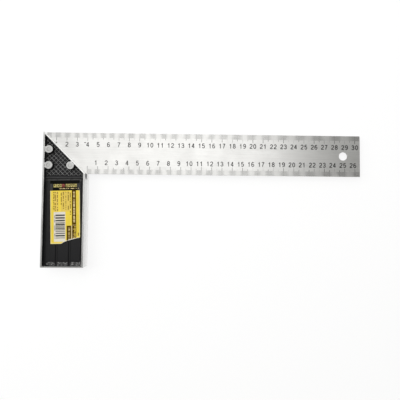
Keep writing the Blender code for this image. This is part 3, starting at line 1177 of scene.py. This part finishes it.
def strokeTree():
    # every edge of the mesh becomes a thin flat stroke
    tree, given, result = startGeometry("scaleStrokes", {"Stroke Width": 0.0005, "Raise": 0.00002})
    along = axesOf(tree, addNode(tree, "GeometryNodeInputPosition"))["X"]
    growthFrom, growthTo, growth = scaleLook["strokeGrowth"]
    heavier = spread(tree, along, growthFrom, growthTo, 1.0, growth)
    section = addNode(tree, "GeometryNodeCurvePrimitiveQuadrilateral", Width=given["Stroke Width"],
                      Height=given["Raise"])
    strokes = addNode(tree, "GeometryNodeCurveToMesh", Curve=uprightPaths(tree, given),
                      Profile_Curve=section, Scale=heavier, Fill_Caps=True)
    return finishTree(tree, strokes, given, result)


def makeNumerals(tree, ink):
    points, edges = [], []
    height = scaleLook["digitHeight"]

    def addNumber(number, x, y):
        text = str(number)
        for place, digit in enumerate(text):
            middle = x + (place - (len(text) - 1) / 2) * scaleLook["digitAdvance"]
            for layer, stroke in enumerate(digitStrokes[digit]):
                ring = math.dist(stroke[0], stroke[-1]) < 0.001
                stroke = stroke[:-1] if ring else stroke
                first = len(points)
                z = bladeHigh.z + layer * scaleLook["strokeStep"]
                points.extend((middle + u * height, y + (v - 0.5) * height, z) for u, v in stroke)
                edges.extend((i, i + 1) for i in range(first, len(points) - 1))
                if ring:
                    edges.append((len(points) - 1, first))

    for number in range(1, scaleLook["outerLast"] + 1):
        addNumber(number, number * 10 * mm, -scaleLook["outerMiddle"])
    fleckX, fleckY = scaleLook["fleck"]
    points.extend([(fleckX, fleckY, bladeHigh.z), (fleckX + scaleLook["fleckLength"], fleckY, bladeHigh.z)])
    edges.append((len(points) - 2, len(points) - 1))
    for number in range(1, scaleLook["innerLast"] + 1):
        x = scaleLook["innerStart"] + number * 10 * mm + scaleLook["innerShift"]
        addNumber(number, x, -bladeWidth + scaleLook["innerMiddle"])
    piece = addWires("numerals", points, edges)
    values = {"Stroke Width": scaleLook["stroke"], "Raise": markSizes["Raise"], "Material": ink}
    grow(piece, tree, values)
    return settle(piece, None)


def markWear(tree, place):
    # the marks' ink is worn off in patches, 8 mm apart near the stock and twice that at the free end
    axes = axesOf(tree, place)
    along = calc(tree, "SUBTRACT", axes["X"], bladeLow.x)
    middle = (bladeLow.y + bladeHigh.y) / 2
    rate = spread(tree, axes["Y"], middle - mm, middle + mm, *scaleLook["wearPerMetre"])
    rate = calc(tree, "MULTIPLY_ADD", along, scaleLook["wearSlowing"], rate)
    patches = calc(tree, "MULTIPLY", along, rate)
    sway = noiseAt(tree, place, 60.0, 1.0, 0.5)
    sway = calc(tree, "MULTIPLY", sway, scaleLook["wearWaver"])
    turn = calc(tree, "MULTIPLY_ADD", patches, math.tau, sway)
    least = spread(tree, along, *scaleLook["wearChange"], *scaleLook["wearLeast"])
    most = spread(tree, along, *scaleLook["wearChange"], *scaleLook["wearMost"])
    patch = spread(tree, calc(tree, "SINE", turn), *scaleLook["wearFade"])
    return calc(tree, "MULTIPLY_ADD", patch, calc(tree, "SUBTRACT", most, least), least)


inkLooks = {
    "numeralInk": {"colour": (0.012, 0.012, 0.012), "roughness": 0.5},
    "markInk": {"colour": (0.015, 0.015, 0.015), "roughness": 0.36},
}


def makeInk(name, handling, wear=None):
    # ink in the cut marks; wear(tree, place) gives the mask where bare steel shows
    material, tree, shader = startMaterial(name)
    place = objectPlace(tree)
    use = useGroup(tree, handling, Vector=place, Patch=300.0, Speck=2500.0)
    colour, roughness = inkLooks[name]["colour"], inkLooks[name]["roughness"]
    faded = tuple(value * 1.7 + 0.03 for value in colour)
    shade = blendColours(tree, use["Patches"], colour, faded)
    if wear:
        bare = wear(tree, place)
        shade = blendColours(tree, bare, shade, metalLooks["blade"]["colour"])
        tree.links.new(bare, shader.inputs["Metallic"])
    gloss = spread(tree, use["Patches"], 0, 1, roughness, roughness + 0.1)
    setInputs(tree, shader, Base_Color=shade, Roughness=gloss)
    return material


# Rivets

rivetLook = {
    "radius": 2.0 * mm,
    "edge": 0.15 * mm,
    "dish": 0.05 * mm,
    "dishRadius": 1.3 * mm,
    "edgeDrop": 0.04 * mm,              # where the rounding of the edge starts
}


def makeRivet(node, metal):
    centre = onDrawing(node)
    low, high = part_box(node)
    radius, edge = rivetLook["radius"], rivetLook["edge"]
    dish, dishRadius = rivetLook["dish"], rivetLook["dishRadius"]
    rings = [(dishRadius * 0.3, dish), (dishRadius, dish * 0.7), (radius - edge, 0.0),
             (radius - edge * 0.3, rivetLook["edgeDrop"]), (radius, edge)]
    sections = [(circleOutline(centre, size, 48), low.z + depth) for size, depth in rings]
    sections += [(circleOutline(centre, size, 48), high.z - depth) for size, depth in reversed(rings)]
    rivet = loft(node + "_end", sections)
    useMaterials(rivet, metal)
    return settle(rivet, node, 50)


# Label

labelLook = {
    "width": 27.75 * mm,
    "film": 0.14 * mm,
    "lift": 0.02 * mm,                  # off the panel
    "grooveSag": 0.07 * mm,
    "curl": 0.55 * mm,                  # lift of the torn edge
    "curlReach": 4.0 * mm,
    "lowerEdge": [(10.05, -59.8), (12.55, -58.3), (15.35, -57.2), (21.05, -55.7), (27.75, -54.4)],   # mm
    "turn": math.radians(1.75),
    "tornWidth": 1.0 * mm,
    "tornSteps": 48,
    "panelEdge": 0.1 * mm,              # lower right corner to the panel's edge
    "panelTop": 1.9 * mm,
    "columns": 40,                      # that let it bend across
    "ripple": 0.012 * mm,
}

# printed blocks on the label in mm from its upper left corner; later ones lie over earlier ones
labelBlocks = [
    ("yellow", 0.0, -59.8, 27.75, 0.0),
    ("paleYellow", 0.0, -59.8, 0.8, 0.0),
    ("paleYellow", 26.9, -59.8, 27.75, 0.0),
    ("paleYellow", 0.0, -59.8, 27.75, -58.9),
    ("deepYellow", 2.6, -29.0, 7.6, -10.6),
    ("deepYellow", 9.9, -29.5, 19.6, -10.6),
    ("greyBlack", 0.0, -9.6, 27.75, 0.0),
    ("black", 0.0, -3.0, 27.75, 0.0),
    ("black", 2.35, -9.6, 25.55, 0.0),
    ("brown", 20.2, -59.8, 24.2, -9.6),
    ("cream", 19.35, -59.8, 20.2, -43.0),
    ("brown", 15.15, -59.8, 19.35, -43.0),
    ("white", 3.1, -57.9, 14.0, -29.8),
]

# rows of plain dashes that stand for print, in mm: colour, middle, width, top, bottom, dash, share printed
labelRows = [
    ("tan", 22.4, 1.8, -10.9, -41.0, 0.95, 0.85),
    ("cream", 22.2, 1.4, -10.9, -40.5, 0.95, 0.5),
    ("tan", 22.2, 3.2, -42.0, -56.3, 0.47, 0.75),
    ("gold", 22.7, 1.6, -43.5, -56.0, 0.95, 0.45),
    ("brown", 21.6, 1.5, -43.0, -54.0, 0.95, 0.25),
    ("tan", 17.4, 1.9, -43.9, -57.2, 0.47, 0.72),
    ("cream", 17.7, 1.0, -45.0, -54.0, 0.95, 0.2),
    ("gold", 3.9, 2.6, -10.9, -28.7, 0.95, 0.7),
    ("olive", 3.1, 0.7, -10.8, -28.0, 0.95, 0.6),
    ("olive", 4.65, 0.7, -10.8, -29.0, 0.95, 0.6),
    ("olive", 6.6, 0.8, -10.8, -29.0, 0.95, 0.65),
    ("olive", 10.3, 0.8, -10.8, -24.0, 0.95, 0.8),
    ("olive", 12.25, 0.8, -10.8, -28.4, 0.95, 0.7),
    ("olive", 14.6, 0.6, -10.8, -29.0, 0.95, 0.45),
    ("olive", 16.9, 0.8, -10.8, -30.5, 0.95, 0.7),
    ("olive", 18.8, 0.8, -10.8, -33.0, 0.95, 0.75),
    ("olive", 26.1, 1.1, -49.8, -52.7, 0.7, 0.8),
    ("paleGrey", 4.05, 1.0, -33.0, -55.0, 0.95, 0.7),
]

labelBars = {
    "left": 4.75,                       # mm
    "right": 13.5,
    "top": -32.3,
    "bottom": -56.4,
    "thick": (0.6, 0.9, 1.4),
    "gaps": (0.45, 0.8, 1.1),
    "spare": 1.0,                       # room that the last bar needs
}

# a plain row of blocks for a heading, each with a small dark window
labelHeader = {
    "row": (-6.4, -3.4),                # mm
    "khaki": [(3.1, 5.9), (6.3, 8.5), (8.9, 10.7), (14.6, 16.3), (16.7, 18.7), (19.1, 20.9),
              (21.3, 23.1), (23.4, 25.1)],
    "red": [(11.0, 13.5)],
    "window": (0.8, 1.2),
    "windowMargin": (0.3, 0.4),
    "dashes": (8.0, -8.2, 27.2, -7.4),
    "dash": 0.7,
    "dashShare": 0.8,                   # of the places printed, and of each place's width
}


def labelCells():
    # all blocks, with rows of plain dashes for print and a plain rack of bars
    dice = random.Random(4)
    blocks = list(labelBlocks)
    for colour, middle, width, top, bottom, dash, share in labelRows:
        for row in range(int((top - bottom) / dash)):
            if dice.random() < share:
                y = top - row * dash
                blocks.append((colour, middle - width / 2, y - dash, middle + width / 2, y))
    y = labelBars["top"]
    while y > labelBars["bottom"] + labelBars["spare"]:
        thick = dice.choice(labelBars["thick"])
        blocks.append(("grey", labelBars["left"], y - thick, labelBars["right"], y))
        y -= thick + dice.choice(labelBars["gaps"])
    low, high = labelHeader["row"]
    windowWidth, windowHeight = labelHeader["window"]
    marginX, marginY = labelHeader["windowMargin"]
    for colour in ("khaki", "red"):
        for x0, x1 in labelHeader[colour]:
            blocks.append((colour, x0, low, x1, high))
            x = dice.uniform(x0 + marginX, x1 - marginX - windowWidth)
            y = dice.choice((low + marginY, high - marginY - windowHeight, (low + high - windowHeight) / 2))
            blocks.append(("black", x, y, x + windowWidth, y + windowHeight))
    x0, y0, x1, y1 = labelHeader["dashes"]
    dash, share = labelHeader["dash"], labelHeader["dashShare"]
    for place in range(int((x1 - x0) / dash)):
        if dice.random() < share:
            x = x0 + place * dash
            blocks.append(("cream", x, y0, x + dash * share, y1))
    return blocks


def panelHeight():
    return thickness - pocket["depth"] + panel["rise"]


def makeLabel(prints):
    blocks = labelCells()
    xs = sorted({round(value, 3) for block in blocks for value in (block[1], block[3])})
    ys = sorted({round(value, 3) for block in blocks for value in (block[2], block[4])})
    width = labelLook["width"] / mm
    columns = labelLook["columns"]
    xs = sorted(set(xs) | {round(width * i / columns, 3) for i in range(columns + 1)})
    names = list(prints)
    bm = bmesh.new()
    top = [[bm.verts.new((x * mm, y * mm, labelLook["film"])) for x in xs] for y in ys]
    bottom = [[bm.verts.new((x * mm, y * mm, 0)) for x in xs] for y in ys]
    for j in range(len(ys) - 1):
        for i in range(len(xs) - 1):
            middleX, middleY = (xs[i] + xs[i + 1]) / 2, (ys[j] + ys[j + 1]) / 2
            shown = [name for name, x0, y0, x1, y1 in blocks if x0 < middleX < x1 and y0 < middleY < y1]
            face = bm.faces.new((top[j][i], top[j][i + 1], top[j + 1][i + 1], top[j + 1][i]))
            face.material_index = names.index(shown[-1])
            bm.faces.new((bottom[j][i], bottom[j + 1][i], bottom[j + 1][i + 1], bottom[j][i + 1]))
    for low, high in zip(topBorder(bottom), topBorder(top)):
        bm.faces.new((low[0], low[1], high[1], high[0]))
    label = addSolid("label_film", bm)
    for name in names:
        label.data.materials.append(prints[name])
    curve = [(x * mm, y * mm) for x, y in labelLook["lowerEdge"]]
    far = stockWidth * 2
    below = [(curve[0][0], -far), (far, -far), (far, curve[-1][1] + 0.3 * mm)] + curve[::-1]
    carve(label, [prism("lowerEdge", below, -mm, mm)])
    for polygon in label.data.polygons:
        if polygon.normal.z < 0.5:
            polygon.material_index = names.index("white")
    layOnPanel(label)
    settle(label, "label", 60)
    return makeTornEdge(prints["white"])


def lowerEdgeAt(x):
    # height of the label's lower edge, flat at first and then sloping
    curve = [(0.0, labelLook["lowerEdge"][0][1])] + labelLook["lowerEdge"]
    x = min(max(x / mm, 0.0), curve[-1][0])
    place = max(j for j in range(len(curve) - 1) if curve[j][0] <= x)
    (x0, y0), (x1, y1) = curve[place], curve[place + 1]
    return (y0 + (y1 - y0) * (x - x0) / (x1 - x0)) * mm


def makeTornEdge(paper):
    # the pale core of the film, bared along the slanting part of its lower edge
    start = labelLook["lowerEdge"][0][0] * mm
    steps = labelLook["tornSteps"]
    upper, lower = [], []
    for i in range(steps + 1):
        along = i / steps
        x = start + (labelLook["width"] - start) * along
        y = lowerEdgeAt(x)
        ragged = 0.65 + 0.7 * noise.noise(Vector((x, y, 0)) * 900)
        width = labelLook["tornWidth"] * ragged * math.sin(math.pi * min(1, along * 1.02 + 0.02)) ** 0.4
        upper.append((x, y + width))
        lower.append((x, y + 0.02 * mm))
    film = labelLook["film"]
    strip = prism("label_torn_edge", lower + upper[::-1], film - 0.01 * mm, film + 0.03 * mm)
    useMaterials(strip, paper)
    layOnPanel(strip)
    return settle(strip, None, 60)


def topBorder(grid):
    # pairs of neighbours round the edge of a grid, anticlockwise
    ring = grid[0][:-1] + [row[-1] for row in grid[:-1]] + grid[-1][:0:-1] + [row[0] for row in grid[:0:-1]]
    return zip(ring, ring[1:] + ring[:1])


def layOnPanel(label):
    # turns the film into place and lets it sag over the grooves and lift at its torn edge
    right, top = panelSides()[2:]
    turn = labelLook["turn"]
    lastY = labelLook["lowerEdge"][-1][1] * mm
    cornerX = right - labelLook["panelEdge"] + lastY * math.sin(turn) - labelLook["width"]
    cornerY = top - labelLook["panelTop"]
    base = panelHeight() + labelLook["lift"]
    for vertex in label.data.vertices:
        x, y = vertex.co.x, vertex.co.y
        placedX = cornerX + x * math.cos(turn) - y * math.sin(turn)
        placedY = cornerY + x * math.sin(turn) + y * math.cos(turn)
        sag = 0.0
        for side in (-1, 1):
            offGroove = abs(placedX - stockWidth / 2 - side * panel["grooveSpread"])
            sag += labelLook["grooveSag"] * max(0.0, 1 - (offGroove / panel["grooveWidth"]) ** 2)
        fromEdge = max(0.0, y - lowerEdgeAt(x)) / labelLook["curlReach"]
        curl = labelLook["curl"] * max(0.0, 1 - fromEdge) ** 2 * min(1.0, x / labelLook["width"] + 0.1)
        ripple = labelLook["ripple"] * noise.noise(Vector((placedX, placedY, 0)) * 130)
        vertex.co = Vector((placedX, placedY, base + vertex.co.z - sag + curl + ripple))


printColours = {
    "yellow": (0.875, 0.66, 0.055),
    "paleYellow": (0.89, 0.75, 0.29),
    "deepYellow": (0.78, 0.57, 0.09),
    "black": (0.004, 0.004, 0.003),
    "greyBlack": (0.024, 0.023, 0.023),
    "brown": (0.085, 0.046, 0.0),
    "tan": (0.36, 0.25, 0.08),
    "khaki": (0.46, 0.38, 0.12),
    "red": (0.27, 0.055, 0.035),
    "gold": (0.58, 0.41, 0.04),
    "cream": (0.70, 0.56, 0.27),
    "white": (0.78, 0.74, 0.64),
    "grey": (0.045, 0.043, 0.04),
    "paleGrey": (0.42, 0.39, 0.36),
    "olive": (0.26, 0.16, 0.004),
}


printLook = {
    "roughness": (0.30, 0.42),
    "specular": 0.35,
    "darkSpecular": 0.03,               # flat black and brown ink
    "specks": 0.18,
    "speckColour": (0.5, 0.48, 0.44),
    "bump": 0.03 * mm,
}


def makePrint(name, colour, handling):
    # printed film under a clear gloss
    material, tree, shader = startMaterial("print_" + name)
    place = objectPlace(tree)
    use = useGroup(tree, handling, Vector=place, Patch=140.0, Speck=1600.0)
    faded = tuple(value * 0.92 + 0.003 for value in colour)
    shade = blendColours(tree, use["Patches"], colour, faded)
    specks = calc(tree, "MULTIPLY", use["Specks"], printLook["specks"])
    shade = blendColours(tree, specks, shade, printLook["speckColour"])
    gloss = spread(tree, use["Patches"], 0, 1, *printLook["roughness"])
    specular = printLook["darkSpecular" if name in ("black", "brown") else "specular"]
    setInputs(tree, shader, Base_Color=shade, Roughness=gloss, Specular_IOR_Level=specular)
    addBump(tree, shader, noiseAt(tree, place, 420.0, 2.0, 0.5), printLook["bump"], 0.6)
    return material


# Build

addCamera()
addLights()
addWorld()
addFloor()
print("stage: camera, lights, walls and floor")

grain = makeGrain()
handling = makeHandling()
castSkin = makeCastSkin()
rimDistance = makeRimDistance()
creep = makeCreep(rimDistance)
groundMetal = makeMetal("groundAluminium", metalLooks["ground"], grain, handling, creep, mitreShine)
# the side metal carries the painted shade in the inner corner
sideMetal = makeMetal("sideAluminium", metalLooks["side"], grain, handling, cornerGrime)
rivetMetal = makeMetal("rivetSteel", metalLooks["rivet"], grain, handling)
bladeMetal = makeMetal("bladeSteel", metalLooks["blade"], grain, handling)
# the black paint carries painted shade along the grooves
wallPaint = makePaint("blackPaint", castSkin, handling, wallChips, grooveSoot)
# the lattice's paint carries a painted highlight on its crests
ridgePaint = makePaint("rubbedAndHighlightPaint", castSkin, handling, crestRub)
numeralInk = makeInk("numeralInk", handling)
markInk = makeInk("markInk", handling, markWear)
print("stage: materials")

makeStock(groundMetal, wallPaint, sideMetal)
print("stage: stock")
ridges = ridgeTree()
for face in ("front", "back"):
    makeLattice(face, ridges, ridgePaint)
print("stage: lattice")
makeBlade(bladeMetal)
marks = markTree()
makeMarks("marks_outer", marks, markInk, 0.0, 1, 0.0, 1)
makeMarks("marks_inner", marks, markInk, scaleLook["innerStart"], 0, -bladeWidth, -1)
makeNumerals(strokeTree(), numeralInk)
print("stage: blade and scales")
for node in ("rivet_upper", "rivet_lower", "rivet_mitre"):
    makeRivet(node, rivetMetal)
makeLabel({name: makePrint(name, colour, handling) for name, colour in printColours.items()})
print("stage: rivets and label")

bpy.context.scene.view_settings.view_transform = "Standard"
